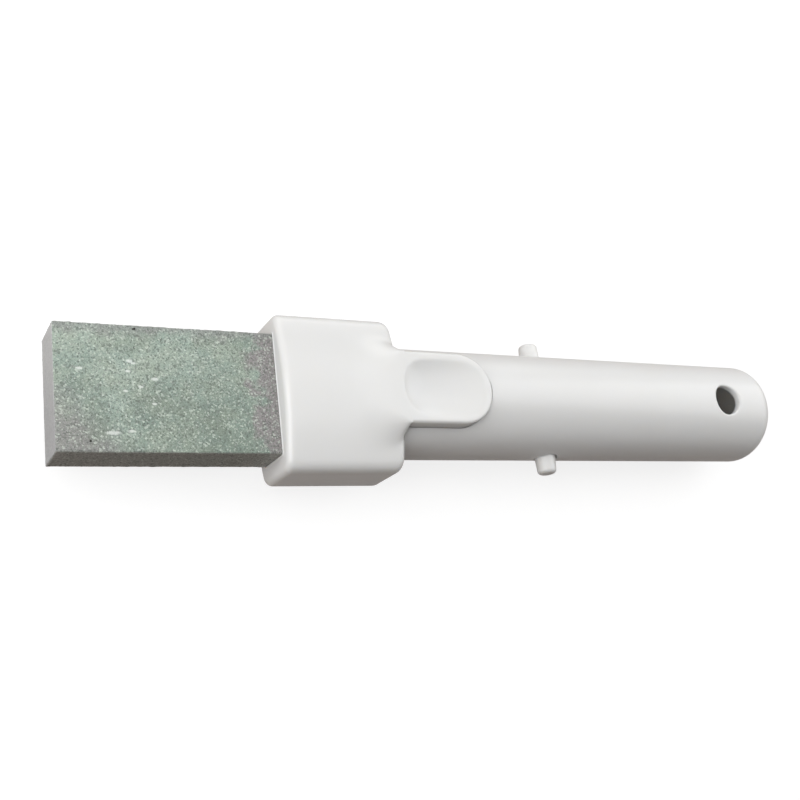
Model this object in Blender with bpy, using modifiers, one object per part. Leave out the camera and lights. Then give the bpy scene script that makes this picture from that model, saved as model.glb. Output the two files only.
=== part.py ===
"""Pumice stone on a short pole handle, for Blender 4.5, in metres with +Z up.

The tool lies on its back pad. The stone points along -X, the handle along +X, and +Z is the side with the
thumb dish. Lengths along the tool are measured from the shoulder, the head's rear face.
"""
import math

import bmesh
import bpy

# Stone: a sawn block, glued into the head's socket
STONE_WIDTH = 0.0308
STONE_THICKNESS = 0.0128
STONE_EXPOSED = 0.0526
STONE_SEATED = 0.0240
STONE_EDGE = 0.0004

# Head: a rounded box, open at the mouth and closed at the shoulder
HEAD_LENGTH = 0.0317
HEAD_WIDTH = 0.0405
HEAD_THICKNESS = 0.0185
HEAD_LONG_EDGE = 0.0030
MOUTH_EDGE = 0.0014
SHOULDER_EDGE = 0.0016
SHOULDER_CORNER = 0.0025
SOCKET_WEB = 0.0040

# Thumb pads: raised tongues on both sides of the handle, the front one dished
PAD_WIDTH = 0.0193
PAD_LENGTH = 0.0247
PAD_HEIGHT = 0.0158
PAD_EDGE = 0.0008
DISH_START = -0.0010
DISH_LENGTH = 0.0235
DISH_WIDTH = 0.0152
DISH_DEPTH = 0.0015
DISH_FULLNESS = 2.6
DISH_SKEW_SHARE = 0.45

# Ramps: each pad runs down into the head's face; its ridge narrows and its flanks widen on the way
RAMP_LENGTH = 0.0160
RIDGE_LENGTH = 0.0120
RIDGE_CURVE = 1.75
FLANK_AT_SHOULDER = 0.0013
FLANK_AT_NOSE = 0.0095

# Spigot: the ring that carries the pads, and that the handle slides over
SPIGOT_LENGTH = 0.0270
SPIGOT_WALL = 0.0035

# Handle: a thin tube with a low dome at its free end
HANDLE_LENGTH = 0.1275
HANDLE_RADIUS = 0.0145
HANDLE_END_RADIUS = 0.0144
HANDLE_WALL = 0.0020
DOME_LENGTH = 0.0090
HANG_HOLE_RADIUS = 0.00435
HANG_HOLE_FROM_END = 0.0215

# Snap clip: a moulded hairpin inside the handle, with a button on each arm
BUTTON_FROM_SHOULDER = 0.0482
BUTTON_RADIUS = 0.00295
BUTTON_TIP_RADIUS = 0.0026
BUTTON_TIP_EDGE = 0.0012
BUTTON_PROUD = 0.0045
CLIP_WIDTH = 0.0100
CLIP_THICKNESS = 0.0018
CLIP_ARM_LENGTH = 0.0400
CLIP_TAIL = 0.0060

# Clearances; a pressed button leans towards the stone and stays clear of its hole
SEAT_GAP = 0.0003
BUTTON_GAP = 0.0005
OVERRUN = 0.0020
WELD = SEAT_GAP / 100

# Facets
RING_STEPS = 64
HOLE_STEPS = 32
ARC_STEPS = 4
DOME_STEPS = 8

# Places that follow from the sizes above
SHOULDER_X = (STONE_EXPOSED + HEAD_LENGTH - HANDLE_LENGTH) / 2
AXIS_Z = PAD_HEIGHT
PAD_HALF = PAD_WIDTH / 2
PAD_TIP_CENTRE = PAD_LENGTH - PAD_HALF
SOCKET_DEPTH = STONE_SEATED + SEAT_GAP
BORE_RADIUS = HANDLE_RADIUS - HANDLE_WALL
SPIGOT_RADIUS = BORE_RADIUS - SEAT_GAP
CLIP_FACE = math.sqrt(BORE_RADIUS ** 2 - (CLIP_WIDTH / 2) ** 2) - SEAT_GAP
CLIP_HINGE_X = BUTTON_FROM_SHOULDER + CLIP_ARM_LENGTH
CLIP_HINGE_Y = CLIP_FACE - CLIP_THICKNESS / 2

# Where the head's and the pads' sections are taken, as shares of the sizes that they follow
FACE_SHARES = (0.5, 0.25, 0.1)
PAD_FLAT_SHARES = (0.86, 0.7, 0.5, 0.25)
RAMP_STATION_SHARES = (1.0, 0.86, 0.72, 0.6, 0.48, 0.37, 0.27)
PAD_STATION_SHARES = (0.0, 0.1, 0.25, 0.42, 0.6, 0.8, 1.0)

PLASTIC = ("white_plastic", (0.84, 0.84, 0.83, 1.0), 0.28)
PUMICE = ("green_grey_pumice", (0.36, 0.41, 0.36, 1.0), 0.95)


# Scene and shared tools

def clear_scene():
    for obj in list(bpy.data.objects):
        bpy.data.objects.remove(obj, do_unlink=True)


def new_collection(name):
    collection = bpy.data.collections.new(name)
    bpy.context.scene.collection.children.link(collection)
    return collection


def principled(name, colour, roughness):
    material = bpy.data.materials.new(name)
    material.use_nodes = True
    shader = material.node_tree.nodes["Principled BSDF"]
    shader.inputs["Base Color"].default_value = colour
    shader.inputs["Roughness"].default_value = roughness
    shader.inputs["Metallic"].default_value = 0.0
    return material


def add_object(name, mesh, collection, parent):
    obj = bpy.data.objects.new(name, mesh)
    collection.objects.link(obj)
    obj.parent = parent
    return obj


def mesh_from(name, bm, sharp_angle):
    bmesh.ops.recalc_face_normals(bm, faces=bm.faces)
    mesh = bpy.data.meshes.new(name)
    bm.to_mesh(mesh)
    bm.free()
    mesh.shade_smooth()
    mesh.set_sharp_from_angle(angle=sharp_angle)
    return mesh


def box_mesh(name, low, high):
    bm = bmesh.new()
    bmesh.ops.create_cube(bm, size=1.0)
    for vert in bm.verts:
        for axis in range(3):
            middle = (low[axis] + high[axis]) / 2
            vert.co[axis] = middle + vert.co[axis] * (high[axis] - low[axis])
    return mesh_from(name, bm, math.radians(30))


def round_mesh(name, radius, length, steps):
    bm = bmesh.new()
    bmesh.ops.create_cone(bm, cap_ends=True, segments=steps, radius1=radius, radius2=radius, depth=length)
    return mesh_from(name, bm, math.radians(30))


def turned_object(name, profile, collection, parent, steps):
    """Turn (radius, height) points about local Z; the outer side runs from the top down."""
    mesh = bpy.data.meshes.new(name)
    points = [(radius, 0.0, height) for radius, height in profile]
    mesh.from_pydata(points, [(i, i + 1) for i in range(len(points) - 1)], [])
    obj = add_object(name, mesh, collection, parent)
    screw = obj.modifiers.new("turn", "SCREW")
    screw.axis = "Z"
    screw.steps = steps
    screw.render_steps = steps
    screw.use_merge_vertices = True
    screw.merge_threshold = WELD
    screw.use_smooth_shade = True
    return obj


def outline_object(name, points, half_height, collection, parent):
    """Extrude a flat (x, y) outline both ways along Z into a closed mesh."""
    curve = bpy.data.curves.new(name, "CURVE")
    curve.dimensions = "2D"
    curve.fill_mode = "BOTH"
    curve.extrude = half_height
    spline = curve.splines.new("POLY")
    spline.points.add(len(points) - 1)
    for point, (x, y) in zip(spline.points, points):
        point.co = (x, y, 0.0, 1.0)
    spline.use_cyclic_u = True
    guide = add_object(name + "_outline", curve, collection, parent)
    shape = bpy.data.meshes.new_from_object(guide.evaluated_get(bpy.context.evaluated_depsgraph_get()))
    bpy.data.objects.remove(guide, do_unlink=True)
    bm = bmesh.new()
    bm.from_mesh(shape)
    bpy.data.meshes.remove(shape)
    bmesh.ops.remove_doubles(bm, verts=bm.verts, dist=WELD)
    return add_object(name, mesh_from(name, bm, math.radians(30)), collection, parent)


def arc(centre, radius, start, end, steps):
    """Points on an arc from start to end, in degrees."""
    angles = [math.radians(start + (end - start) * i / steps) for i in range(steps + 1)]
    return [(centre[0] + radius * math.cos(a), centre[1] + radius * math.sin(a)) for a in angles]


def combine(target, other, operation):
    modifier = target.modifiers.new(operation.lower() + "_" + other.name, "BOOLEAN")
    modifier.operation = operation
    modifier.object = other
    other.hide_render = True
    other.display_type = "WIRE"


# Form of the holder's upper and lower sides

def smooth_step(share):
    share = min(max(share, 0.0), 1.0)
    return share * share * (3 - 2 * share)


def ramp_rise(x, y):
    """Rise of the ramp over the head's flat face, from a low nose to the full height at the shoulder."""
    to_nose = min(-x / RAMP_LENGTH, 1.0)
    flank = FLANK_AT_SHOULDER + (FLANK_AT_NOSE - FLANK_AT_SHOULDER) * to_nose
    ridge = PAD_HALF - FLANK_AT_SHOULDER / 2
    ridge *= 1 - min(-x / RIDGE_LENGTH, 1.0) ** RIDGE_CURVE
    across = (abs(y) - ridge) / flank
    return (PAD_HEIGHT - HEAD_THICKNESS / 2) * smooth_step(1 - to_nose) * (1 - smooth_step(across))


def dish_depth(x, y, dished):
    """Depth of the thumb dish, a long rounded bowl whose deep end is next to the head."""
    along = (x - DISH_START - DISH_LENGTH / 2) / (DISH_LENGTH / 2)
    across = y / (DISH_WIDTH / 2)
    inside = 1 - abs(along) ** DISH_FULLNESS - abs(across) ** DISH_FULLNESS
    if not dished or inside <= 0:
        return 0.0
    return DISH_DEPTH * inside * (1 - DISH_SKEW_SHARE * along)


def pad_top(x, y, dished):
    """Height of the pad over the handle's axis, with the rounded edge that follows its half-round tip."""
    to_edge = PAD_HALF - math.hypot(max(x - PAD_TIP_CENTRE, 0.0), y)
    lip = min(max(PAD_EDGE - to_edge, 0.0), PAD_EDGE)
    return PAD_HEIGHT - PAD_EDGE + math.sqrt(PAD_EDGE ** 2 - lip ** 2) - dish_depth(x, y, dished)


def pad_stations():
    """Places across the pad from +Y to -Y: the rounded edge, then even steps over the flat."""
    edge = [PAD_HALF - PAD_EDGE * (1 - math.cos(math.radians(a))) for a in (0, 30, 60, 90)]
    flat = [(PAD_HALF - PAD_EDGE) * share for share in PAD_FLAT_SHARES]
    side = edge + flat
    return side + [0.0] + [-y for y in reversed(side)]


def edge_inset(distance, radius):
    """How far a rounded edge lies inside its sharp edge, at a distance from the end face."""
    short = max(radius - distance, 0.0)
    return radius - math.sqrt(radius ** 2 - short ** 2)


def head_half(x, dished):
    """Upper half of a section through the head, from the +Y side over the top to the -Y side."""
    from_mouth = HEAD_LENGTH + x
    at_mouth = edge_inset(from_mouth, MOUTH_EDGE)
    half_width = HEAD_WIDTH / 2 - at_mouth - edge_inset(-x, SHOULDER_CORNER)
    half_height = HEAD_THICKNESS / 2 - at_mouth - edge_inset(-x, SHOULDER_EDGE)
    radius = HEAD_LONG_EDGE - at_mouth - edge_inset(-x, SHOULDER_EDGE)
    corner = arc((half_width - radius, half_height - radius), radius, 0, 90, ARC_STEPS)
    face = [PAD_HALF + (half_width - radius - PAD_HALF) * share for share in FACE_SHARES]
    outer = corner + [(y, half_height + ramp_rise(x, y)) for y in face]
    level = HEAD_THICKNESS / 2 - at_mouth
    middle = [(y, level + ramp_rise(x, y) - dish_depth(x, y, dished)) for y in pad_stations()]
    if x == 0:
        middle = [(y, pad_top(x, y, dished)) for y in pad_stations()]
    return outer + middle + [(-y, z) for y, z in reversed(outer)]


def pad_half(x, dished):
    """Upper half of a section through the pads: straight walls below the pad's rounded top."""
    beyond = max(x - PAD_TIP_CENTRE, 0.0)
    half_width = math.sqrt(max(PAD_HALF ** 2 - beyond ** 2, 0.0))
    count = ARC_STEPS + 1 + len(FACE_SHARES)
    wall_top = PAD_HEIGHT - PAD_EDGE
    wall = [(half_width, wall_top * (i + 0.5) / (count + 0.5)) for i in range(count)]
    across = [y * half_width / PAD_HALF for y in pad_stations()]
    return wall + [(y, pad_top(x, y, dished)) for y in across] + [(-y, z) for y, z in reversed(wall)]


def ring(x, front, back):
    """A closed section at x, from its upper half and the half that is turned over below the axis."""
    return [(x, y, z) for y, z in front] + [(x, y, -z) for y, z in reversed(back)]


def holder_rings():
    """Sections of the head from the mouth to the shoulder, and of the pads from the shoulder to their tip."""
    turns = [math.radians(a) for a in (0, 30, 60, 90)]
    head = [-HEAD_LENGTH + MOUTH_EDGE * (1 - math.cos(a)) for a in turns]
    head += [-RAMP_LENGTH * share for share in RAMP_STATION_SHARES]
    head += [-SHOULDER_CORNER * (1 - math.cos(a)) for a in reversed(turns)]
    pads = [PAD_TIP_CENTRE * share for share in PAD_STATION_SHARES]
    pads += [PAD_TIP_CENTRE + PAD_HALF * math.sin(math.radians(a)) for a in (15, 30, 45, 58, 70, 80, 87)]
    head_rings = [ring(x, head_half(x, True), head_half(x, False)) for x in head]
    pad_rings = [ring(x, pad_half(x, True), pad_half(x, False)) for x in pads]
    return head_rings, pad_rings


def loft_mesh(name, ring_groups):
    """Skin consecutive sections; points that two sections share are welded and leave no face between."""
    bm = bmesh.new()
    rings = [[bm.verts.new(point) for point in section] for group in ring_groups for section in group]
    count = len(rings[0])
    for first, second in zip(rings, rings[1:]):
        for i in range(count):
            j = (i + 1) % count
            corners = (first[i], first[j], second[j], second[i])
            if any((a.co - b.co).length > 0 for a, b in ((first[i], second[i]), (first[j], second[j]))):
                bm.faces.new(corners)
    bm.faces.new(rings[0])
    bm.faces.new(rings[-1])
    bmesh.ops.remove_doubles(bm, verts=bm.verts, dist=WELD)
    return mesh_from(name, bm, math.radians(40))


# Sub-parts

def build_stone(collection, parent, material):
    low = (-HEAD_LENGTH - STONE_EXPOSED, -STONE_WIDTH / 2, -STONE_THICKNESS / 2)
    high = (-HEAD_LENGTH + STONE_SEATED, STONE_WIDTH / 2, STONE_THICKNESS / 2)
    stone = add_object("pumice_stone", box_mesh("pumice_stone", low, high), collection, parent)
    edge = stone.modifiers.new("worn_edges", "BEVEL")
    edge.width = STONE_EDGE
    edge.segments = 1
    stone.data.materials.append(material)
    return stone


def build_holder(collection, cutters, parent, material):
    """Head with its socket, the two pads and the spigot, in one moulding."""
    head_rings, pad_rings = holder_rings()
    mesh = loft_mesh("stone_holder", (head_rings, pad_rings))
    holder = add_object("stone_holder", mesh, collection, parent)

    spigot_start = -SHOULDER_EDGE - OVERRUN
    length = SPIGOT_LENGTH - spigot_start
    spigot = add_object("spigot", round_mesh("spigot", SPIGOT_RADIUS, length, RING_STEPS), cutters, parent)
    spigot.rotation_euler = (0.0, math.pi / 2, 0.0)
    spigot.location = (spigot_start + length / 2, 0.0, 0.0)
    combine(holder, spigot, "UNION")

    mouth = -HEAD_LENGTH
    half_width = STONE_WIDTH / 2 + SEAT_GAP
    half_thickness = STONE_THICKNESS / 2 + SEAT_GAP
    socket_mesh = box_mesh("socket", (mouth - OVERRUN, -half_width, -half_thickness),
                           (mouth + SOCKET_DEPTH, half_width, half_thickness))
    socket = add_object("socket", socket_mesh, cutters, parent)
    combine(holder, socket, "DIFFERENCE")

    bore_start = mouth + SOCKET_DEPTH + SOCKET_WEB
    length = SPIGOT_LENGTH + OVERRUN - bore_start
    bore_mesh = round_mesh("spigot_bore", SPIGOT_RADIUS - SPIGOT_WALL, length, RING_STEPS)
    bore = add_object("spigot_bore", bore_mesh, cutters, parent)
    bore.rotation_euler = (0.0, math.pi / 2, 0.0)
    bore.location = (bore_start + length / 2, 0.0, 0.0)
    combine(holder, bore, "DIFFERENCE")
    holder.data.materials.append(material)
    return holder


def dome_profile(radius, start, length, steps):
    """Quarter ellipse from the apex on the axis out to the tube's side, as (radius, height)."""
    angles = [math.pi / 2 * (1 - i / steps) for i in range(steps + 1)]
    return [(radius * math.cos(a) if i else 0.0, start + length * math.sin(a)) for i, a in enumerate(angles)]


def build_handle(collection, cutters, parent, material):
    """Tube closed by a dome, slotted for the pads, with the hang hole and the button holes."""
    dome_start = HANDLE_LENGTH - DOME_LENGTH
    outside = dome_profile(HANDLE_END_RADIUS, dome_start, DOME_LENGTH, DOME_STEPS)
    outside.append((HANDLE_RADIUS, SEAT_GAP))
    end_bore = HANDLE_END_RADIUS - HANDLE_WALL
    inside = dome_profile(end_bore, dome_start, DOME_LENGTH - HANDLE_WALL, DOME_STEPS)
    inside.append((BORE_RADIUS, SEAT_GAP))
    handle = turned_object("handle_tube", outside + inside[::-1], collection, parent, RING_STEPS)
    handle.rotation_euler = (0.0, math.pi / 2, 0.0)

    slot_half = PAD_HALF + SEAT_GAP
    outline = arc((PAD_TIP_CENTRE, 0.0), slot_half, -90, 90, HOLE_STEPS // 2)
    outline += [(-OVERRUN, slot_half), (-OVERRUN, -slot_half)]
    slot = outline_object("pad_slots", outline, HANDLE_RADIUS + OVERRUN, cutters, parent)
    combine(handle, slot, "DIFFERENCE")

    across = 2 * (HANDLE_RADIUS + OVERRUN)
    hole = add_object("hang_hole", round_mesh("hang_hole", HANG_HOLE_RADIUS, across, HOLE_STEPS), cutters, parent)
    hole.location = (HANDLE_LENGTH - HANG_HOLE_FROM_END, 0.0, 0.0)
    combine(handle, hole, "DIFFERENCE")

    hole_radius = BUTTON_RADIUS + BUTTON_GAP
    hole = add_object("button_holes", round_mesh("button_holes", hole_radius, across, HOLE_STEPS), cutters, parent)
    hole.rotation_euler = (math.pi / 2, 0.0, 0.0)
    hole.location = (BUTTON_FROM_SHOULDER, 0.0, 0.0)
    combine(handle, hole, "DIFFERENCE")
    handle.data.materials.append(material)
    return handle


def build_clip_bend(collection, parent, material):
    """Half-round bend that joins the clip's two arms."""
    centre = (CLIP_HINGE_X, 0.0)
    outline = arc(centre, CLIP_FACE, -90, 90, HOLE_STEPS // 2)
    outline += arc(centre, CLIP_FACE - CLIP_THICKNESS, 90, -90, HOLE_STEPS // 2)
    bend = outline_object("clip_bend", outline, CLIP_WIDTH / 2, collection, parent)
    bend.data.materials.append(material)
    return bend


def build_clip_arm(name, side, collection, cutters, parent, material):
    """One arm with its button; the arm's origin is on its hinge line, where it meets the bend."""
    hinge = bpy.data.objects.new(name + "_hinge", None)
    collection.objects.link(hinge)
    hinge.parent = parent
    hinge.location = (CLIP_HINGE_X, side * CLIP_HINGE_Y, 0.0)

    half = CLIP_THICKNESS / 2
    tail = -CLIP_ARM_LENGTH - CLIP_TAIL + half
    outline = [(-SEAT_GAP, -half), (-SEAT_GAP, half)] + arc((tail, 0.0), half, 90, 270, HOLE_STEPS // 4)
    arm = outline_object(name, outline, CLIP_WIDTH / 2, collection, hinge)

    top = HANDLE_RADIUS + BUTTON_PROUD - CLIP_HINGE_Y
    edge_centre = (BUTTON_TIP_RADIUS - BUTTON_TIP_EDGE, top - BUTTON_TIP_EDGE)
    profile = [(0.0, top)] + arc(edge_centre, BUTTON_TIP_EDGE, 90, 0, ARC_STEPS)
    profile += [(BUTTON_RADIUS, BORE_RADIUS - CLIP_HINGE_Y), (BUTTON_RADIUS, 0.0), (0.0, 0.0)]
    button = turned_object(name + "_button", profile, cutters, hinge, HOLE_STEPS)
    button.rotation_euler = (-side * math.pi / 2, 0.0, 0.0)
    button.location = (-CLIP_ARM_LENGTH, 0.0, 0.0)
    combine(arm, button, "UNION")
    arm.data.materials.append(material)
    return arm


def main():
    clear_scene()
    parts = new_collection("pumice_stone_with_pole")
    cutters = new_collection("cutters")
    plastic = principled(*PLASTIC)
    pumice = principled(*PUMICE)

    tool = bpy.data.objects.new("tool", None)
    parts.objects.link(tool)
    tool.location = (SHOULDER_X, 0.0, AXIS_Z)

    build_stone(parts, tool, pumice)
    build_holder(parts, cutters, tool, plastic)
    build_handle(parts, cutters, tool, plastic)
    build_clip_bend(parts, tool, plastic)
    build_clip_arm("clip_arm_left", 1, parts, cutters, tool, plastic)
    build_clip_arm("clip_arm_right", -1, parts, cutters, tool, plastic)
    bpy.context.view_layer.update()


main()
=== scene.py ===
"""A scouring tool: a pumice block in a moulded head, on a short hollow handle that snaps into a pole.

Sizes are in metres. The tool lies on its back pad on the floor, with the stone towards -X and the dish up.
"""
import math

import bmesh
import bpy
from mathutils import Matrix, Vector, noise


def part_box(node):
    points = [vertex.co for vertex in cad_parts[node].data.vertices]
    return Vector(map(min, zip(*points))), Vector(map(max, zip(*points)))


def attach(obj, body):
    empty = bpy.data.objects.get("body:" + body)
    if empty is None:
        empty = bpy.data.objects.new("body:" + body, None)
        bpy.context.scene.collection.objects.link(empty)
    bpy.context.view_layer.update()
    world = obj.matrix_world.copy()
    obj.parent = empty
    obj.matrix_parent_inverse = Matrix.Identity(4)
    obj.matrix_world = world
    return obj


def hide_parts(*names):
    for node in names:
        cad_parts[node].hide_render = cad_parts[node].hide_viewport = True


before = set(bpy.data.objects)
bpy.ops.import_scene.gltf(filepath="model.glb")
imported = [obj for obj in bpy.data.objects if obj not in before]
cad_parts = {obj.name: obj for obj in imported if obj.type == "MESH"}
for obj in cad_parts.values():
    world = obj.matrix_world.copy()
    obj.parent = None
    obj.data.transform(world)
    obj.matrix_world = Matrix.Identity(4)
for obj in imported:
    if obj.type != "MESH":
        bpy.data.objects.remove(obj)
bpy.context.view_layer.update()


# Pumice stone: a block sawn from ground pumice set in cement, grey-green with light and dark grains.
# The saw leaves its arrises ragged and its end face smoother and paler; the seated end is glued in.
GRAIN_STEP = 0.00045
ARRIS_WEAR = 0.00050
GRIT_DEPTH = 0.00010
# Unevenness of each, as (middle, ((scale, height) of each wave), (lowest, highest)).
WEAR_UNEVEN = (0.75, ((700, 0.55), (2100, 0.45)), (0.25, 1.7))
GRIT_UNEVEN = (0.5, ((1500, 0.3), (2900, 0.3)), (0.0, 1.0))
STONE_DEEP_GREEN = (0.270, 0.330, 0.280, 1.0)
STONE_GREEN = (0.325, 0.392, 0.335, 1.0)
STONE_PALE_GREEN = (0.405, 0.482, 0.415, 1.0)
STONE_GREY = (0.325, 0.335, 0.322, 1.0)
STONE_MAUVE = (0.332, 0.316, 0.312, 1.0)
# The side colour is partly painted light, and the two end colours are painted lighter and darker as painted
# light.
STONE_SIDE_GREY_PAINTED_PALE = (0.440, 0.440, 0.420, 1.0)
STONE_END_PAINTED_SHADED = (0.470, 0.475, 0.485, 1.0)
STONE_END_PAINTED_LIT = (0.575, 0.583, 0.588, 1.0)
GRAIN_LIGHT = (0.700, 0.760, 0.690, 1.0)
GRAIN_DARK = (0.140, 0.160, 0.145, 1.0)
FLECK_WHITE = (0.900, 0.930, 0.900, 1.0)
# The pit colour is painted shade.
PIT_PAINTED_SHADE = (0.045, 0.045, 0.042, 1.0)
HUE_COOL = (0.975, 1.0, 1.012, 1.0)
HUE_WARM = (1.018, 1.0, 0.978, 1.0)
FINES_DARK = (0.62, 0.62, 0.62, 1.0)
FINES_LIGHT = (1.35, 1.35, 1.35, 1.0)
# Painted light: the green is painted paler towards +Y and the free end, the sides the light falls from.
PAINTED_LIGHT_RATE = 6.5
PAINTED_LIGHT_LEAN = 0.25
PAINTED_LIGHT_REST = 0.115
# Stained zones: where each begins and is full, along X, from the low corner, or along Y.
STAIN_WANDER = 0.016
MOUTH_STAIN = (-0.0600, -0.0572)
LOW_CORNER = (-0.105, -0.012)
CORNER_STAIN = (0.004, 0.016)
CORNER_SHARE = 0.75
TOP_STRIP = (0.0120, 0.0150)
TOP_WANDER = 0.4
TOP_SHARE = 0.8
# Painted light: the sides facing ±Y are greyer and also painted paler.
SIDE_FACING = (0.5, 0.9)
SIDE_SHARE = 0.9
# The end face is paler, and painted light makes it lighter towards +Y and darker towards -Y.
END_FACING = (0.6, 0.9)
END_PAINTED_LIGHT_SPAN = (-0.010, 0.014)
END_CALM = 0.7
# Grains: which of them are light or dark, how strongly, and how far they and the pits stand in relief.
LIGHT_GRAINS = (0.70, 1.0)
LIGHT_SHARE = 0.60
DARK_GRAINS = (0.66, 1.0)
DARK_SHARE = 0.64
GRAIN_RELIEF = 0.8
PIT_RELIEF = 3.0
FLECK_SHARE = 0.65
FRONT_FACE = (0.0205, 0.0210)
MARK_EDGE = (0.5, 1.3)
MARK_RAGGED = 3.0
# Pale flecks, and pits painted near-black with painted shade, on the dished side, as (x, y, half length, half
# width).
FLECKS = (
    (-0.0932, -0.0109, 0.0017, 0.00045), (-0.0890, -0.0104, 0.0009, 0.00035),
    (-0.1001, 0.0042, 0.0008, 0.00035), (-0.0888, 0.0064, 0.0008, 0.0004),
    (-0.0879, 0.0059, 0.0006, 0.0003), (-0.0892, 0.0039, 0.0006, 0.0003),
    (-0.0830, 0.0022, 0.0009, 0.0004), (-0.0864, 0.0002, 0.0006, 0.0003),
    (-0.0899, -0.0009, 0.0005, 0.0003), (-0.0834, -0.0038, 0.0006, 0.0003),
)
PITS = ((-0.0873, 0.0144, 0.0004, 0.0004), (-0.0982, -0.0128, 0.0003, 0.0003))


def clamp(value, low, high):
    return min(max(value, low), high)


def new_object(name, data):
    """An object in the scene that shows a mesh, a light or a camera."""
    made = bpy.data.objects.new(name, data)
    bpy.context.scene.collection.objects.link(made)
    return made


def new_mesh(name, bm):
    """A smooth mesh from a finished bmesh."""
    mesh = bpy.data.meshes.new(name)
    bm.to_mesh(mesh)
    bm.free()
    mesh.shade_smooth()
    return mesh


def sawn_block(low, high, step):
    """A closed box of small squares, so that its faces and arrises can be worn."""
    counts = [max(2, round((high[a] - low[a]) / step)) for a in range(3)]
    bm = bmesh.new()
    knots = {}

    def knot(place):
        if place not in knots:
            point = [low[a] + (high[a] - low[a]) * place[a] / counts[a] for a in range(3)]
            knots[place] = bm.verts.new(point)
        return knots[place]

    for axis in range(3):
        one, two = (axis + 1) % 3, (axis + 2) % 3
        for end in (0, counts[axis]):
            for i in range(counts[one]):
                for j in range(counts[two]):
                    square = []
                    for di, dj in ((0, 0), (1, 0), (1, 1), (0, 1)):
                        place = [0, 0, 0]
                        place[axis], place[one], place[two] = end, i + di, j + dj
                        square.append(knot(tuple(place)))
                    bm.faces.new(square if end else square[::-1])
    return bm


def uneven(place, middle, waves, limits):
    """A value that wanders about its middle from place to place."""
    for scale, height in waves:
        middle += height * noise.noise(place * scale)
    return clamp(middle, *limits)


def wear_block(bm, low, high):
    """Round the arrises by an uneven radius and sink the faces by an uneven grit depth."""
    for vert in bm.verts:
        place = vert.co.copy()
        radius = ARRIS_WEAR * uneven(place, *WEAR_UNEVEN)
        core = Vector([clamp(place[a], low[a] + radius, high[a] - radius) for a in range(3)])
        outward = (place - core).normalized()
        vert.co = core + outward * (radius - GRIT_DEPTH * uneven(place, *GRIT_UNEVEN))


stone_low, stone_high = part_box("pumice_stone")
stone_bm = sawn_block(stone_low, stone_high, GRAIN_STEP)
wear_block(stone_bm, stone_low, stone_high)
pumice_block = new_object("pumice_block", new_mesh("pumice_block", stone_bm))


def new_material(name):
    """An empty material with its Principled shader, ready to be wired."""
    material = bpy.data.materials.new(name)
    material.use_nodes = True
    tree = material.node_tree
    return material, tree, tree.nodes["Principled BSDF"]


def add_node(tree, kind, **settings):
    """A shader node; settings name its properties, or its inputs with spaces as underscores."""
    node = tree.nodes.new(kind)
    for name, value in settings.items():
        if hasattr(node, name):
            setattr(node, name, value)
        else:
            node.inputs[name.replace("_", " ")].default_value = value
    return node


def feed(tree, socket, value):
    """Give an input either another node's output or a constant."""
    if isinstance(value, bpy.types.NodeSocket):
        tree.links.new(value, socket)
    else:
        socket.default_value = value


def add_math(tree, operation, first, second=0.0, clamped=False):
    """One sum on two values."""
    node = add_node(tree, "ShaderNodeMath", operation=operation, use_clamp=clamped)
    feed(tree, node.inputs[0], first)
    feed(tree, node.inputs[1], second)
    return node.outputs[0]


def add_range(tree, value, low, high):
    """0 below low, 1 above high, and a soft step between."""
    node = add_node(tree, "ShaderNodeMapRange", interpolation_type="SMOOTHSTEP", From_Min=low, From_Max=high)
    feed(tree, node.inputs["Value"], value)
    return node.outputs["Result"]


def add_mix(tree, factor, first, second, blend="MIX"):
    """Mix two colours by a factor."""
    node = add_node(tree, "ShaderNodeMix", data_type="RGBA", blend_type=blend)
    for index, value in ((0, factor), (6, first), (7, second)):
        feed(tree, node.inputs[index], value)
    return node.outputs[2]


def add_coat(tree, colour, mask, share, tone):
    """Lay a share of a tone over a colour where the mask is 1."""
    return add_mix(tree, add_math(tree, "MULTIPLY", mask, share), colour, tone)


def add_ramp(tree, value, stops):
    """A colour that follows a value through stops of (value, colour)."""
    node = tree.nodes.new("ShaderNodeValToRGB")
    bar = node.color_ramp.elements
    while len(bar) < len(stops):
        bar.new(0.5)
    for knob, (position, colour) in zip(bar, stops):
        knob.position = position
        knob.color = colour
    feed(tree, node.inputs["Fac"], value)
    return node.outputs["Color"]


def add_noise(tree, place, scale, detail, roughness=0.5):
    """Soft noise over a place."""
    node = add_node(tree, "ShaderNodeTexNoise", Scale=scale, Detail=detail, Roughness=roughness)
    feed(tree, node.inputs["Vector"], place)
    return node.outputs["Fac"]


def add_split(tree, vector):
    """The X, Y and Z of a vector."""
    node = tree.nodes.new("ShaderNodeSeparateXYZ")
    feed(tree, node.inputs[0], vector)
    return node.outputs


pumice, tree, shader = new_material("green_grey_pumice")
place = add_node(tree, "ShaderNodeTexCoord").outputs["Object"]
stone_x, stone_y, stone_z = add_split(tree, place)
facing = add_split(tree, add_node(tree, "ShaderNodeNewGeometry").outputs["Normal"])

cloud = add_noise(tree, place, scale=95.0, detail=4.0, roughness=0.6)
patch = add_noise(tree, place, scale=210.0, detail=3.0, roughness=0.55)
# Painted light: the green is shifted paler towards +Y and the free end.
towards_light = add_math(tree, "SUBTRACT", stone_y, add_math(tree, "MULTIPLY", stone_x, PAINTED_LIGHT_LEAN))
painted_light_paler = add_math(tree, "SUBTRACT", add_math(tree, "MULTIPLY", towards_light, PAINTED_LIGHT_RATE), PAINTED_LIGHT_REST)
greens = ((0.34, STONE_DEEP_GREEN), (0.50, STONE_GREEN), (0.68, STONE_PALE_GREEN))
colour = add_ramp(tree, add_math(tree, "ADD", cloud, painted_light_paler), greens)
hue = add_ramp(tree, patch, ((0.38, HUE_COOL), (0.62, HUE_WARM)))
colour = add_mix(tree, 1.0, colour, hue, "MULTIPLY")

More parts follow.
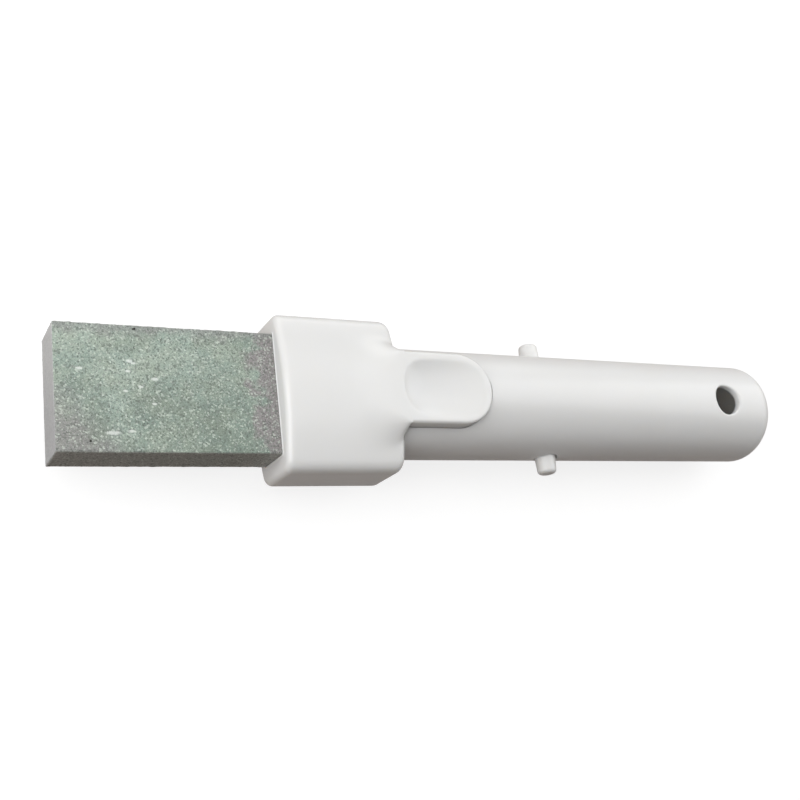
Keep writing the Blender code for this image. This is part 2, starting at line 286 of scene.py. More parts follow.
wander = add_math(tree, "MULTIPLY", add_math(tree, "SUBTRACT", patch, 0.5), STAIN_WANDER)
near_mouth = add_range(tree, add_math(tree, "ADD", stone_x, wander), *MOUTH_STAIN)
colour = add_mix(tree, near_mouth, colour, STONE_MAUVE)
from_corner = add_math(tree, "ADD", add_math(tree, "SUBTRACT", stone_x, LOW_CORNER[0]),
                       add_math(tree, "SUBTRACT", stone_y, LOW_CORNER[1]))
beyond_corner = add_range(tree, add_math(tree, "ADD", from_corner, wander), *CORNER_STAIN)
colour = add_coat(tree, colour, add_math(tree, "SUBTRACT", 1.0, beyond_corner), CORNER_SHARE, STONE_MAUVE)
top_edge = add_math(tree, "ADD", stone_y, add_math(tree, "MULTIPLY", wander, TOP_WANDER))
colour = add_coat(tree, colour, add_range(tree, top_edge, *TOP_STRIP), TOP_SHARE, STONE_GREY)
# The sides facing ±Y are greyer, and painted paler as painted light.
side_grey_painted_pale = add_range(tree, add_math(tree, "ABSOLUTE", facing["Y"]), *SIDE_FACING)
colour = add_coat(tree, colour, side_grey_painted_pale, SIDE_SHARE, STONE_SIDE_GREY_PAINTED_PALE)
# The end face is paler, with painted light: lighter towards +Y and darker towards -Y.
on_end = add_range(tree, add_math(tree, "MULTIPLY", facing["X"], -1.0), *END_FACING)
end_tone_painted_light = add_mix(tree, add_range(tree, stone_y, *END_PAINTED_LIGHT_SPAN), STONE_END_PAINTED_SHADED, STONE_END_PAINTED_LIT)
colour = add_mix(tree, on_end, colour, end_tone_painted_light)

grain = add_node(tree, "ShaderNodeTexVoronoi", Scale=2600.0)
tree.links.new(place, grain.inputs["Vector"])
grain_tone = add_node(tree, "ShaderNodeSeparateColor")
tree.links.new(grain.outputs["Color"], grain_tone.inputs[0])
fines = add_noise(tree, place, scale=3600.0, detail=2.0, roughness=0.7)
open_face = add_math(tree, "SUBTRACT", 1.0, add_math(tree, "MULTIPLY", on_end, END_CALM))
light_grain = add_range(tree, grain_tone.outputs["Red"], *LIGHT_GRAINS)
dark_grain = add_range(tree, grain_tone.outputs["Green"], *DARK_GRAINS)
colour = add_coat(tree, colour, add_math(tree, "MULTIPLY", light_grain, open_face), LIGHT_SHARE, GRAIN_LIGHT)
colour = add_coat(tree, colour, add_math(tree, "MULTIPLY", dark_grain, open_face), DARK_SHARE, GRAIN_DARK)
fine_tone = add_ramp(tree, fines, ((0.25, FINES_DARK), (0.75, FINES_LIGHT)))
colour = add_mix(tree, open_face, colour, fine_tone, "MULTIPLY")

on_front = add_range(tree, stone_z, *FRONT_FACE)
ragged = add_math(tree, "MULTIPLY", add_math(tree, "SUBTRACT", fines, 0.5), MARK_RAGGED)


def add_marks(marks):
    """1 inside any of the small ragged ovals."""
    found = 0.0
    for x, y, half_length, half_width in marks:
        away = ragged
        for stone_place, middle, half in ((stone_x, x, half_length), (stone_y, y, half_width)):
            share = add_math(tree, "DIVIDE", add_math(tree, "SUBTRACT", stone_place, middle), half)
            away = add_math(tree, "ADD", away, add_math(tree, "MULTIPLY", share, share))
        inside = add_math(tree, "SUBTRACT", 1.0, add_range(tree, away, *MARK_EDGE))
        found = add_math(tree, "MAXIMUM", found, inside)
    return add_math(tree, "MULTIPLY", found, on_front)


colour = add_coat(tree, colour, add_marks(FLECKS), FLECK_SHARE, FLECK_WHITE)
# The pits are painted near-black as painted shade, and sunk by the bump below.
pits_and_painted_shade = add_marks(PITS)
colour = add_mix(tree, pits_and_painted_shade, colour, PIT_PAINTED_SHADE)
tree.links.new(colour, shader.inputs["Base Color"])

height = add_math(tree, "ADD", fines, add_math(tree, "MULTIPLY", grain.outputs["Distance"], GRAIN_RELIEF))
height = add_math(tree, "SUBTRACT", height, add_math(tree, "MULTIPLY", pits_and_painted_shade, PIT_RELIEF))
bump = add_node(tree, "ShaderNodeBump", Strength=0.55, Distance=0.00025)
tree.links.new(height, bump.inputs["Height"])
tree.links.new(bump.outputs["Normal"], shader.inputs["Normal"])
shader.inputs["Roughness"].default_value = 0.95
shader.inputs["Specular IOR Level"].default_value = 0.25
pumice_block.data.materials.append(pumice)
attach(pumice_block, "tool")
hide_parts("pumice_stone")


# Head: one white moulding that grips the stone in a socket, with a fine bead round the stone.
# Two thumb pads run out of it over the handle on ramps that blend into its broad faces; one is dished.
# A ring-shaped spigot between the pads goes into the handle.
SHOULDER = Vector((-0.0216, 0.0, 0.0158))
HEAD_LENGTH = 0.0317
HEAD_HALF_WIDTH = 0.02025
HEAD_HALF_THICKNESS = 0.00935
HEAD_LONG_EDGE = 0.0036
CROWN_TILT = math.radians(16.0)
MOUTH_EDGE = 0.0017
MOUTH_BEAD = 0.0002
SHOULDER_EDGE = 0.0013
SHOULDER_CORNER = 0.0025
SOCKET_HALF_WIDTH = 0.0155
SOCKET_HALF_THICKNESS = 0.0065
SOCKET_DEPTH = 0.0243
SOCKET_CORNER = 0.0007
PAD_HALF = 0.00945
PAD_LENGTH = 0.0247
DISHED_PAD_HEIGHT = 0.0149
BACK_PAD_HEIGHT = 0.0158
PAD_EDGE = 0.0008
PAD_TIP_CENTRE = PAD_LENGTH - PAD_HALF
DISH_START = -0.0010
DISH_LENGTH = 0.0235
DISH_WIDTH = 0.0152
DISH_DEPTH = 0.0015
DISH_END_POWER = 4.0
DISH_SIDE_POWER = 2.2
DISH_SLOPE = 0.6
RAMP_LENGTH = 0.0160
RIDGE_LENGTH = 0.0120
FLANK_AT_SHOULDER = 0.0006
FLANK_AT_NOSE = 0.0180
FLANK_GROWTH = 0.55
SPIGOT_START = -0.0010
SPIGOT_LENGTH = 0.0270
SPIGOT_RADIUS = 0.0122
SPIGOT_BORE = 0.0087
PLASTIC_WHITE = (0.800, 0.800, 0.792, 1.0)
# Fineness of the mesh.
WELD_GAP = 0.000003
SLIVER = 0.000001
CORNER_STEPS = 9
FACE_STEPS = 10
PAD_EDGE_STEPS = 6
PAD_STEPS = 15
PAD_SHARE_OF_FACE = 0.9
BEAD_STEPS = 8
MOUTH_STEPS = 9
BODY_STEPS = 34
SHOULDER_STEPS = 12
PAD_RINGS = 26
SPIGOT_STEPS = 64


def soft_step(share):
    share = clamp(share, 0.0, 1.0)
    return share * share * (3 - 2 * share)


def quarter_turn(count):
    """Angles from 0 to 90 degrees in even steps."""
    return [math.pi / 2 * i / count for i in range(count + 1)]


def half_turn(start, count):
    """Angles through 180 degrees in even steps, from a start in degrees."""
    return [math.radians(start + 180 * i / count) for i in range(count + 1)]


def full_turn(count):
    """Angles all round in even steps."""
    return [math.tau * i / count for i in range(count)]


def crown(y, half_width, half_height, radius):
    """Height of a broad face, a low arch that runs on from the rounded long edges."""
    start = half_width - radius + radius * math.sin(CROWN_TILT)
    edge = half_height - radius + radius * math.cos(CROWN_TILT)
    return edge + (start ** 2 - y ** 2) * math.tan(CROWN_TILT) / (2 * start)


def pad_height(dished):
    return DISHED_PAD_HEIGHT if dished else BACK_PAD_HEIGHT


def ramp_rise(x, y, dished):
    """Rise of the ramp over the head's arched face."""
    to_nose = min(-x / RAMP_LENGTH, 1.0)
    flank = FLANK_AT_SHOULDER + (FLANK_AT_NOSE - FLANK_AT_SHOULDER) * to_nose ** FLANK_GROWTH
    ridge = PAD_HALF * (1 - min(-x / RIDGE_LENGTH, 1.0))
    across = (abs(y) - ridge) / flank
    face = crown(y, HEAD_HALF_WIDTH, HEAD_HALF_THICKNESS, HEAD_LONG_EDGE)
    return (pad_height(dished) - face) * soft_step(1 - to_nose) * (1 - soft_step(across))


def dish_depth(x, y, dished):
    """Depth of the thumb dish, which is deepest towards the head."""
    along = (x - DISH_START - DISH_LENGTH / 2) / (DISH_LENGTH / 2)
    inside = 1 - abs(along) ** DISH_END_POWER - abs(y / (DISH_WIDTH / 2)) ** DISH_SIDE_POWER
    if not dished or inside <= 0:
        return 0.0
    return DISH_DEPTH * inside * (1 - DISH_SLOPE * along)


def pad_top(x, y, dished):
    """Height of the pad's top, with the rounded edge that follows its half-round tip."""
    to_edge = PAD_HALF - math.hypot(max(x - PAD_TIP_CENTRE, 0.0), y)
    lip = clamp(PAD_EDGE - to_edge, 0.0, PAD_EDGE)
    rounded = math.sqrt(PAD_EDGE ** 2 - lip ** 2)
    return pad_height(dished) - PAD_EDGE + rounded - dish_depth(x, y, dished)


def inset(distance, radius):
    """How far a rounded edge lies inside its sharp edge, at a distance from the end face."""
    short = max(radius - distance, 0.0)
    return radius - math.sqrt(radius ** 2 - short ** 2)


def across_pad():
    """Places across the pad from +Y to -Y: its rounded edge, then even steps."""
    side = [PAD_HALF - PAD_EDGE * (1 - math.cos(a)) for a in quarter_turn(PAD_EDGE_STEPS)]
    side += [(PAD_HALF - PAD_EDGE) * (1 - i / PAD_STEPS) for i in range(1, PAD_STEPS)]
    return side + [0.0] + [-y for y in reversed(side)]


ACROSS = across_pad()


def half_section(half_width, half_height, radius, tilt, top):
    """Upper half of a section, from +Y over the top to -Y; top gives the height of its face at y."""
    corner_turns = [turn * (1 - tilt * 2 / math.pi) for turn in quarter_turn(CORNER_STEPS)]
    corner = [(half_width - radius + radius * math.cos(a), half_height - radius + radius * math.sin(a))
              for a in corner_turns]
    flat = half_width - radius + radius * math.sin(tilt)
    pad = min(PAD_HALF, flat * PAD_SHARE_OF_FACE)
    face = [pad + (flat - pad) * (1 - i / FACE_STEPS) for i in range(1, FACE_STEPS)]
    outer = corner + [(y, top(y)) for y in face]
    middle = [(y * pad / PAD_HALF, top(y * pad / PAD_HALF)) for y in ACROSS]
    return outer + middle + [(-y, z) for y, z in reversed(outer)]


def whole_ring(x, front, back):
    """A ring of points from two half sections, the second of which is turned over."""
    return [(x, y, z) for y, z in front] + [(x, y, -z) for y, z in reversed(back)]


def head_ring(x):
    """Outside of the head, rounded at the mouth and at the shoulder, with the ramps on its faces."""
    at_mouth = inset(HEAD_LENGTH - MOUTH_BEAD + x, MOUTH_EDGE)
    full = (HEAD_HALF_WIDTH - at_mouth, HEAD_HALF_THICKNESS - at_mouth, HEAD_LONG_EDGE - at_mouth)
    shrink = (inset(-x, SHOULDER_CORNER), inset(-x, SHOULDER_EDGE), inset(-x, SHOULDER_EDGE))
    edged = [whole - less for whole, less in zip(full, shrink)]

    def top(y, dished):
        if abs(y) > PAD_HALF:
            return crown(y, *edged) + ramp_rise(x, y, dished)
        if x == 0:
            return pad_top(x, y, dished)
        return crown(y, *full) + ramp_rise(x, y, dished) - dish_depth(x, y, dished)

    halves = [half_section(*edged, CROWN_TILT, lambda y, dished=dished: top(y, dished))
              for dished in (True, False)]
    return whole_ring(x, *halves)


def pad_ring(x):
    """Outside of the two pads, which are one block inside the handle."""
    beyond = max(x - PAD_TIP_CENTRE, 0.0)
    half_width = math.sqrt(max(PAD_HALF ** 2 - beyond ** 2, 0.0))
    count = CORNER_STEPS + FACE_STEPS
    halves = []
    for dished in (True, False):
        wall_top = pad_height(dished) - PAD_EDGE
        wall = [(half_width, wall_top * (i + 0.5) / (count + 0.5)) for i in range(count)]
        places = [y * half_width / PAD_HALF for y in ACROSS]
        middle = [(y, pad_top(x, y, dished)) for y in places]
        halves.append(wall + middle + [(-y, z) for y, z in reversed(wall)])
    return whole_ring(x, *halves)


def socket_ring(x, grown):
    """Inside of the socket, grown all round by the bead at its mouth."""
    half_width, half_height = SOCKET_HALF_WIDTH + grown, SOCKET_HALF_THICKNESS + grown
    half = half_section(half_width, half_height, SOCKET_CORNER + grown, 0.0, lambda y: half_height)
    return whole_ring(x, half, half)


def bridge(bm, first, second):
    """Faces between two rings of points; one without width is left out, and a pole gives triangles."""
    for i in range(len(first)):
        j = (i + 1) % len(first)
        if (first[i].co - second[i].co).length > 0 or (first[j].co - second[j].co).length > 0:
            bm.faces.new(list(dict.fromkeys((first[i], first[j], second[j], second[i]))))


def skin(bm, rings, offset):
    """Faces between consecutive rings of equal count, closed at both ends."""
    made = [[bm.verts.new(Vector(point) + offset) for point in ring] for ring in rings]
    for first, second in zip(made, made[1:]):
        bridge(bm, first, second)
    bm.faces.new(made[0])
    bm.faces.new(made[-1])


def lathe(bm, profile, steps, spot, closed=False):
    """Turn (place along the axis, radius) points round; spot puts one at an angle. Returns the last ring."""
    rings = []
    for along, radius in profile:
        angles = full_turn(steps if radius else 1)
        ring = [bm.verts.new(spot(along, radius, a)) for a in angles]
        rings.append(ring if radius else ring * steps)
    for first, second in zip(rings, rings[1:] + rings[:1] if closed else rings[1:]):
        bridge(bm, first, second)
    return rings[-1]


def about_x(x, radius, angle):
    """A point of a turned form whose axis is the tool's."""
    return Vector((x, radius * math.cos(angle), radius * math.sin(angle))) + SHOULDER


def mark_sharp(mesh, degrees):
    mesh.set_sharp_from_angle(angle=math.radians(degrees))


def finish_mesh(name, bm, sharp):
    """Weld the points, turn the faces outwards and make the object, with edges above an angle sharp."""
    bmesh.ops.remove_doubles(bm, verts=bm.verts, dist=WELD_GAP)
    bmesh.ops.dissolve_degenerate(bm, dist=SLIVER, edges=bm.edges)
    bmesh.ops.recalc_face_normals(bm, faces=bm.faces)
    mesh = new_mesh(name, bm)
    mark_sharp(mesh, sharp)
    return new_object(name, mesh)


head_bm = bmesh.new()
mouth = -HEAD_LENGTH
body_start = mouth + MOUTH_BEAD + MOUTH_EDGE
body_length = -SHOULDER_CORNER - body_start
rings = [socket_ring(mouth + SOCKET_DEPTH, 0.0)]
rings += [socket_ring(mouth + MOUTH_BEAD * (1 - math.sin(a)), MOUTH_BEAD * (1 - math.cos(a)))
          for a in half_turn(0, BEAD_STEPS)]
rings += [head_ring(mouth + MOUTH_BEAD + MOUTH_EDGE * (1 - math.cos(a))) for a in quarter_turn(MOUTH_STEPS)]
rings += [head_ring(body_start + body_length * i / BODY_STEPS) for i in range(1, BODY_STEPS)]
rings += [head_ring(-SHOULDER_CORNER * (1 - math.cos(a))) for a in reversed(quarter_turn(SHOULDER_STEPS))]
rings += [pad_ring(PAD_TIP_CENTRE * i / PAD_RINGS) for i in range(PAD_RINGS + 1)]
rings += [pad_ring(PAD_TIP_CENTRE + PAD_HALF * math.sin(a)) for a in quarter_turn(PAD_RINGS)[1:-1]]
skin(head_bm, rings, SHOULDER)
spigot = [(SPIGOT_START, SPIGOT_BORE), (SPIGOT_START, SPIGOT_RADIUS),
          (SPIGOT_LENGTH, SPIGOT_RADIUS), (SPIGOT_LENGTH, SPIGOT_BORE)]
lathe(head_bm, spigot, SPIGOT_STEPS, about_x, closed=True)
moulded_head = finish_mesh("moulded_head", head_bm, sharp=34)


def moulded_plastic():
    """Node group for moulded plastic: a faint flow mottle, slightly uneven gloss and a soft orange peel."""
    group = bpy.data.node_groups.new("moulded_plastic", "ShaderNodeTree")
    for way, values in (("INPUT", ("Gloss", "Peel")), ("OUTPUT", ("Roughness", "Height"))):
        group.interface.new_socket("Colour", in_out=way, socket_type="NodeSocketColor")
        for name in values:
            group.interface.new_socket(name, in_out=way, socket_type="NodeSocketFloat")
    given = group.nodes.new("NodeGroupInput").outputs
    result = group.nodes.new("NodeGroupOutput").inputs
    place = add_node(group, "ShaderNodeTexCoord").outputs["Object"]
    flow = add_noise(group, place, scale=45.0, detail=3.0)
    tone = add_ramp(group, flow, ((0.3, (0.992, 0.990, 0.984, 1.0)), (0.7, (1.0, 1.0, 1.0, 1.0))))
    group.links.new(add_mix(group, 1.0, given["Colour"], tone, "MULTIPLY"), result["Colour"])
    handled = add_noise(group, place, scale=260.0, detail=5.0, roughness=0.65)
    wiped = add_math(group, "MULTIPLY", add_math(group, "SUBTRACT", handled, 0.5), 0.05)
    group.links.new(add_math(group, "ADD", given["Gloss"], wiped, clamped=True), result["Roughness"])
    peel = add_noise(group, place, scale=420.0, detail=1.0)
    group.links.new(add_math(group, "MULTIPLY", peel, given["Peel"]), result["Height"])
    return group


PLASTIC_GROUP = moulded_plastic()


def plastic_material(name, gloss, peel):
    """White moulded plastic that lets a little light in; gloss is its roughness."""
    material, tree, shader = new_material(name)
    group = add_node(tree, "ShaderNodeGroup", node_tree=PLASTIC_GROUP)
    group.inputs["Colour"].default_value = PLASTIC_WHITE
    group.inputs["Gloss"].default_value = gloss
    group.inputs["Peel"].default_value = peel
    bump = add_node(tree, "ShaderNodeBump", Strength=0.10, Distance=0.00002)
    tree.links.new(group.outputs["Height"], bump.inputs["Height"])
    tree.links.new(bump.outputs["Normal"], shader.inputs["Normal"])
    tree.links.new(group.outputs["Colour"], shader.inputs["Base Color"])
    tree.links.new(group.outputs["Roughness"], shader.inputs["Roughness"])
    shader.inputs["IOR"].default_value = 1.49
    shader.inputs["Subsurface Weight"].default_value = 0.35
    shader.inputs["Subsurface Radius"].default_value = (1.0, 0.95, 0.85)
    shader.inputs["Subsurface Scale"].default_value = 0.0025
    return material


moulded_head.data.materials.append(plastic_material("head_plastic", gloss=0.21, peel=1.0))
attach(moulded_head, "tool")
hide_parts("stone_holder")


# Handle: a hollow white tube, closed by a low dome and pushed over the head's spigot, its end slotted
# for the two pads. A hole for hanging goes through it near the dome, and one on each side lets a button out.
HANDLE_LENGTH = 0.1275
HANDLE_RADIUS = 0.0145
HANDLE_END_RADIUS = 0.0144
HANDLE_WALL = 0.0020
HANDLE_MOUTH = 0.0003
DOME_LENGTH = 0.0090
HANG_HOLE_RADIUS = 0.00435
HANG_HOLE_EDGE = 0.0007
HANG_HOLE_X = 0.1060
BUTTON_X = 0.0482
BUTTON_HOLE_RADIUS = 0.00345
SLOT_CLEARANCE = 0.00015
SLOT_HALF = PAD_HALF + SLOT_CLEARANCE
# How far the cutting forms reach beyond the wall.
SLOT_START = -0.002
SLOT_REACH = 0.018
HANG_HOLE_ABOVE = 0.003
HANG_HOLE_SKIM = 0.00001
BUTTON_HOLES_REACH = 0.034
# Fineness of the mesh.
HANDLE_STEPS = 160
HANDLE_RINGS = 100
BORE_RINGS = 30
DOME_STEPS = 22
DOME_BORE_STEPS = 12
SLOT_STEPS = 64
HANG_HOLE_STEPS = 96
HANG_HOLE_EDGE_STEPS = 7
BUTTON_HOLE_STEPS = 72


def handle_profile():
    """(x, radius) from the dome's apex along the outside, round the open end and back inside."""
    dome = HANDLE_LENGTH - DOME_LENGTH

    def side(wall, dome_steps, rings):
        end, open_end = HANDLE_END_RADIUS - wall, HANDLE_RADIUS - wall
        points = [(dome + (DOME_LENGTH - wall) * math.cos(a), end * math.sin(a))
                  for a in quarter_turn(dome_steps)]
        for share in [i / rings for i in range(1, rings + 1)]:
            points.append((dome + (HANDLE_MOUTH - dome) * share, end + (open_end - end) * share))
        return points

    return side(0.0, DOME_STEPS, HANDLE_RINGS) + side(HANDLE_WALL, DOME_BORE_STEPS, BORE_RINGS)[::-1]


def flat_strip(bm, outline, half_width, centre):
    """Extrude an (x, y) outline both ways along Z."""
    ends = [[bm.verts.new(centre + Vector((x, y, z))) for x, y in outline] for z in (-half_width, half_width)]
    bridge(bm, *ends)
    for end in ends:
        bm.faces.new(end)


def hang_hole_rings():
    """Rings down the hang hole, from above the handle to below it, wider where they meet its surface."""
    profile = [(HANG_HOLE_RADIUS + HANG_HOLE_EDGE, HANG_HOLE_ABOVE)]
    profile += [(HANG_HOLE_RADIUS + HANG_HOLE_EDGE * (1 - math.sin(a)), -HANG_HOLE_EDGE * (1 - math.cos(a)))
                for a in quarter_turn(HANG_HOLE_EDGE_STEPS)]
    profile[1] = (profile[1][0], -HANG_HOLE_SKIM)
    rings = []
    for side, points in ((1, profile), (-1, profile[::-1])):
        for radius, sunk in points:
            ring = []
            for a in full_turn(HANG_HOLE_STEPS):
                x, y = radius * math.cos(a), radius * math.sin(a)
                z = math.sqrt(HANDLE_END_RADIUS ** 2 - y ** 2) + HANG_HOLE_SKIM + sunk
                ring.append((HANG_HOLE_X + x, y, side * z))
            rings.append(ring)
    return rings


def cut_out(name, bm, target):
    """Cut a closed form out of the target's mesh."""
    bmesh.ops.recalc_face_normals(bm, faces=bm.faces)
    mesh = new_mesh(name, bm)
    cutter = new_object(name, mesh)
    step = target.modifiers.new(name, "BOOLEAN")
    step.operation = "DIFFERENCE"
    step.object = cutter
    bpy.context.view_layer.update()
    whole = target.data
    cut = target.evaluated_get(bpy.context.evaluated_depsgraph_get())
    target.data = bpy.data.meshes.new_from_object(cut)
    target.modifiers.clear()
    bpy.data.meshes.remove(whole)
    bpy.data.objects.remove(cutter)
    bpy.data.meshes.remove(mesh)


handle_bm = bmesh.new()
lathe(handle_bm, handle_profile(), HANDLE_STEPS, about_x)
handle_body = finish_mesh("handle_body", handle_bm, sharp=50)

slot_bm = bmesh.new()
slot_outline = [(PAD_TIP_CENTRE + SLOT_HALF * math.sin(a), -SLOT_HALF * math.cos(a))
                for a in half_turn(0, SLOT_STEPS)]
slot_outline += [(SLOT_START, SLOT_HALF), (SLOT_START, -SLOT_HALF)]
flat_strip(slot_bm, slot_outline, SLOT_REACH, SHOULDER)
cut_out("pad_slots", slot_bm, handle_body)

hole_bm = bmesh.new()
skin(hole_bm, hang_hole_rings(), SHOULDER)
cut_out("hang_hole", hole_bm, handle_body)

holes_bm = bmesh.new()
bmesh.ops.create_cone(holes_bm, cap_ends=True, segments=BUTTON_HOLE_STEPS, depth=BUTTON_HOLES_REACH,
                      radius1=BUTTON_HOLE_RADIUS, radius2=BUTTON_HOLE_RADIUS)
across_tool = Matrix.Rotation(math.pi / 2, 3, "X")
bmesh.ops.rotate(holes_bm, verts=holes_bm.verts, cent=(0, 0, 0), matrix=across_tool)
bmesh.ops.translate(holes_bm, verts=holes_bm.verts, vec=SHOULDER + Vector((BUTTON_X, 0.0, 0.0)))
cut_out("button_holes", holes_bm, handle_body)

handle_body.data.shade_smooth()
mark_sharp(handle_body.data, degrees=38)
handle_body.data.materials.append(plastic_material("handle_plastic", gloss=0.31, peel=1.0))
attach(handle_body, "tool")
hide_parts("handle_tube")


# Snap clip: one moulded white hairpin inside the handle, whose two arms push a button out through each side.
# The arms spring from the bend, so each arm with its button is a piece of its own here.
HINGE_X = 0.0666
HINGE_Y = 0.0102564
HINGE_GAP = 0.0003
CLIP_HALF_WIDTH = 0.0050
CLIP_HALF_THICKNESS = 0.0009
CLIP_FACE = 0.0111564
ARM_LENGTH = 0.0400
ARM_TAIL = 0.0460
BUTTON_RADIUS = 0.00295
BUTTON_TIP_RADIUS = 0.00262
BUTTON_TIP_EDGE = 0.0011
BUTTON_CROWN = 0.0002
HALF_WAY = 0.5
CROWN_HALF_WAY = 0.3
BUTTON_TOP = 0.0190
BUTTON_WAIST = 0.00224
BUTTON_FOOT = 0.0004
# Fineness of the mesh.
TAIL_STEPS = 12
TIP_EDGE_STEPS = 8
BUTTON_STEPS = 64
BEND_STEPS = 48
clip_plastic = plastic_material("clip_plastic", gloss=0.34, peel=1.4)


def button_profile():
    """(height over the arm, radius) from the crowned tip down to the foot."""
    top = BUTTON_TOP - HINGE_Y
    flat = BUTTON_TIP_RADIUS - BUTTON_TIP_EDGE
    edge = [(top - BUTTON_CROWN - BUTTON_TIP_EDGE * (1 - math.cos(a)), flat + BUTTON_TIP_EDGE * math.sin(a))
            for a in quarter_turn(TIP_EDGE_STEPS)]
    tip = [(top, 0.0), (top - BUTTON_CROWN * CROWN_HALF_WAY, flat * HALF_WAY)]
    return tip + edge + [(BUTTON_WAIST, BUTTON_RADIUS), (BUTTON_FOOT, BUTTON_RADIUS)]


def snap_arm(name, side, node, rides_on):
    """One arm of the clip with its button; side is 1 towards +Y and -1 towards -Y."""
    bm = bmesh.new()
    centre = Vector((HINGE_X, side * HINGE_Y, SHOULDER.z))
    tail = -ARM_TAIL + CLIP_HALF_THICKNESS
    outline = [(-HINGE_GAP, -CLIP_HALF_THICKNESS), (-HINGE_GAP, CLIP_HALF_THICKNESS)]
    outline += [(tail + CLIP_HALF_THICKNESS * math.cos(a), CLIP_HALF_THICKNESS * math.sin(a))
                for a in half_turn(90, TAIL_STEPS)]
    flat_strip(bm, outline, CLIP_HALF_WIDTH, centre)
    foot = centre + Vector((-ARM_LENGTH, 0.0, 0.0))

    def spot(height, radius, angle):
        return foot + Vector((radius * math.cos(angle), side * height, radius * math.sin(angle)))

    bm.faces.new(lathe(bm, button_profile(), BUTTON_STEPS, spot))
    arm = finish_mesh(name, bm, sharp=40)
    arm.data.materials.append(clip_plastic)
    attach(arm, rides_on)
    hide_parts(node)


snap_arm("snap_arm_left", 1, "clip_arm_left", "left_arm")
snap_arm("snap_arm_right", -1, "clip_arm_right", "right_arm")

bend_bm = bmesh.new()
bend_turn = half_turn(-90, BEND_STEPS)
inner_face = CLIP_FACE - 2 * CLIP_HALF_THICKNESS
bend_outline = [(CLIP_FACE * math.cos(a), CLIP_FACE * math.sin(a)) for a in bend_turn]
bend_outline += [(inner_face * math.cos(a), inner_face * math.sin(a)) for a in reversed(bend_turn)]
flat_strip(bend_bm, bend_outline, CLIP_HALF_WIDTH, Vector((HINGE_X, 0.0, SHOULDER.z)))
snap_bend = finish_mesh("snap_bend", bend_bm, sharp=40)
snap_bend.data.materials.append(clip_plastic)
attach(snap_bend, "tool")
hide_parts("clip_bend")


# Floor: a plain pale surface that keeps the tool's soft shadow, shows near-white round it and white far off.
# In gloss it is duller, and what bounces off it is dim and warm, as from a table outside the pale sweep.
FLOOR_HALF = 3.0
FLOOR_SQUARES = 8
FLOOR_SEEN = (0.30, 0.30, 0.30, 1.0)
FLOOR_GLOW = 0.80
FLOOR_IN_GLOSS = 0.35
FLOOR_NEAR = 0.16
FLOOR_FAR = 0.34
FLOOR_BOUNCE = (0.270, 0.215, 0.180, 1.0)
WHITE = (1.0, 1.0, 1.0, 1.0)
floor_bm = bmesh.new()
bmesh.ops.create_grid(floor_bm, x_segments=FLOOR_SQUARES, y_segments=FLOOR_SQUARES, size=FLOOR_HALF)
floor = new_object("floor", new_mesh("floor", floor_bm))
floor_material = bpy.data.materials.new("pale_floor")
floor_material.use_nodes = True
tree = floor_material.node_tree
tree.nodes.clear()


def seen_directly(tree, in_gloss):
    """1 for what is seen straight or through glass, in_gloss for a reflection, 0 for what only lights."""
    path = tree.nodes.new("ShaderNodeLightPath")
    gloss = add_math(tree, "MULTIPLY", path.outputs["Is Glossy Ray"], in_gloss)
    either = add_math(tree, "MAXIMUM", path.outputs["Is Camera Ray"], gloss)
    return add_math(tree, "MAXIMUM", either, path.outputs["Is Transmission Ray"])


bounce = add_node(tree, "ShaderNodeBsdfDiffuse", Color=FLOOR_BOUNCE)
pale = add_node(tree, "ShaderNodeBsdfDiffuse", Color=FLOOR_SEEN)
from_tool = add_node(tree, "ShaderNodeVectorMath", operation="LENGTH")
tree.links.new(add_node(tree, "ShaderNodeTexCoord").outputs["Object"], from_tool.inputs[0])
far_off = add_range(tree, from_tool.outputs["Value"], FLOOR_NEAR, FLOOR_FAR)
more_glow = add_math(tree, "MULTIPLY", far_off, 1.0 - FLOOR_GLOW)
glow = add_node(tree, "ShaderNodeEmission", Color=WHITE)
tree.links.new(add_math(tree, "ADD", FLOOR_GLOW, more_glow), glow.inputs["Strength"])
both = tree.nodes.new("ShaderNodeAddShader")
tree.links.new(pale.outputs[0], both.inputs[0])
tree.links.new(glow.outputs[0], both.inputs[1])
choose = tree.nodes.new("ShaderNodeMixShader")
tree.links.new(seen_directly(tree, FLOOR_IN_GLOSS), choose.inputs[0])
tree.links.new(bounce.outputs[0], choose.inputs[1])
tree.links.new(both.outputs[0], choose.inputs[2])
tree.links.new(choose.outputs[0], tree.nodes.new("ShaderNodeOutputMaterial").inputs["Surface"])
floor.data.materials.append(floor_material)


# Light: a broad soft box over the tool, one beyond each of its ends, a low one along its far side and a
# weak one on its near side. The white backdrop is only seen and mirrored, and lights nothing.
AIM = Vector((-0.01, 0.0, 0.014))
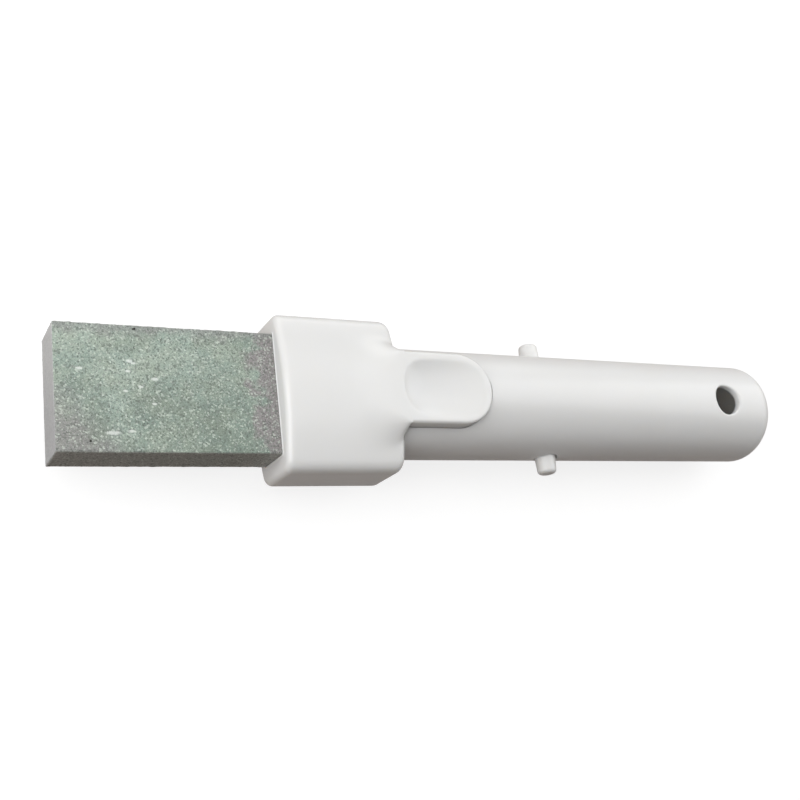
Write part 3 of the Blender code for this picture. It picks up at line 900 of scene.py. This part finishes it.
# Each soft box, as (name, direction from the tool, distance, length, width, power).
SOFT_BOXES = (
    ("over", (-0.05, 0.30, 0.95), 0.40, 0.62, 0.30, 0.55),
    ("beyond_stone", (-0.85, -0.05, 0.55), 0.45, 0.40, 0.40, 1.45),
    ("near_side", (-0.455, -0.283, 0.844), 0.55, 0.40, 0.40, 0.29),
    ("beyond_dome", (0.80, 0.20, 0.56), 0.45, 0.40, 0.40, 1.01),
    ("far_side", (-0.10, 0.93, 0.35), 0.34, 0.62, 0.18, 0.42),
)
for name, direction, distance, length, width, power in SOFT_BOXES:
    light = bpy.data.lights.new(name, "AREA")
    light.shape = "RECTANGLE"
    light.size, light.size_y = length, width
    light.energy = power
    away = Vector(direction).normalized() * distance
    ahead = -away.normalized()
    tool_axis = Vector((1.0, 0.0, 0.0))
    along = (tool_axis - ahead * tool_axis.dot(ahead)).normalized()
    turn = Matrix((along, -ahead.cross(along), -ahead)).transposed()
    new_object(name, light).matrix_world = Matrix.Translation(AIM + away) @ turn.to_4x4()

world = bpy.data.worlds.new("studio")
bpy.context.scene.world = world
world.use_nodes = True
tree = world.node_tree
tree.nodes.clear()
backdrop = add_node(tree, "ShaderNodeBackground", Color=WHITE)
tree.links.new(seen_directly(tree, 1.0), backdrop.inputs["Strength"])
tree.links.new(backdrop.outputs[0], tree.nodes.new("ShaderNodeOutputWorld").inputs["Surface"])


# Camera: looks down on the tool from beyond the stone, as the photograph was taken.
LENS = 50.338
SENSOR_WIDTH = 36.0
LENS_SHIFT = (0.0059056, 0.0090741)
VIEW_RANGE = (0.01, 20.0)
CAMERA_PLACE = Matrix((
    (0.8899662, -0.0263787, -0.4552629, -0.150955),
    (-0.1166673, 0.9519316, -0.2832224, -0.083458),
    (0.4408502, 0.3051727, 0.8441094, 0.262326),
    (0.0, 0.0, 0.0, 1.0)))
camera_data = bpy.data.cameras.new("camera")
camera_data.lens = LENS
camera_data.sensor_width = SENSOR_WIDTH
camera_data.shift_x, camera_data.shift_y = LENS_SHIFT
camera_data.clip_start, camera_data.clip_end = VIEW_RANGE
camera = new_object("camera", camera_data)
camera.matrix_world = CAMERA_PLACE
bpy.context.scene.camera = camera
bpy.context.scene.view_settings.view_transform = "Standard"
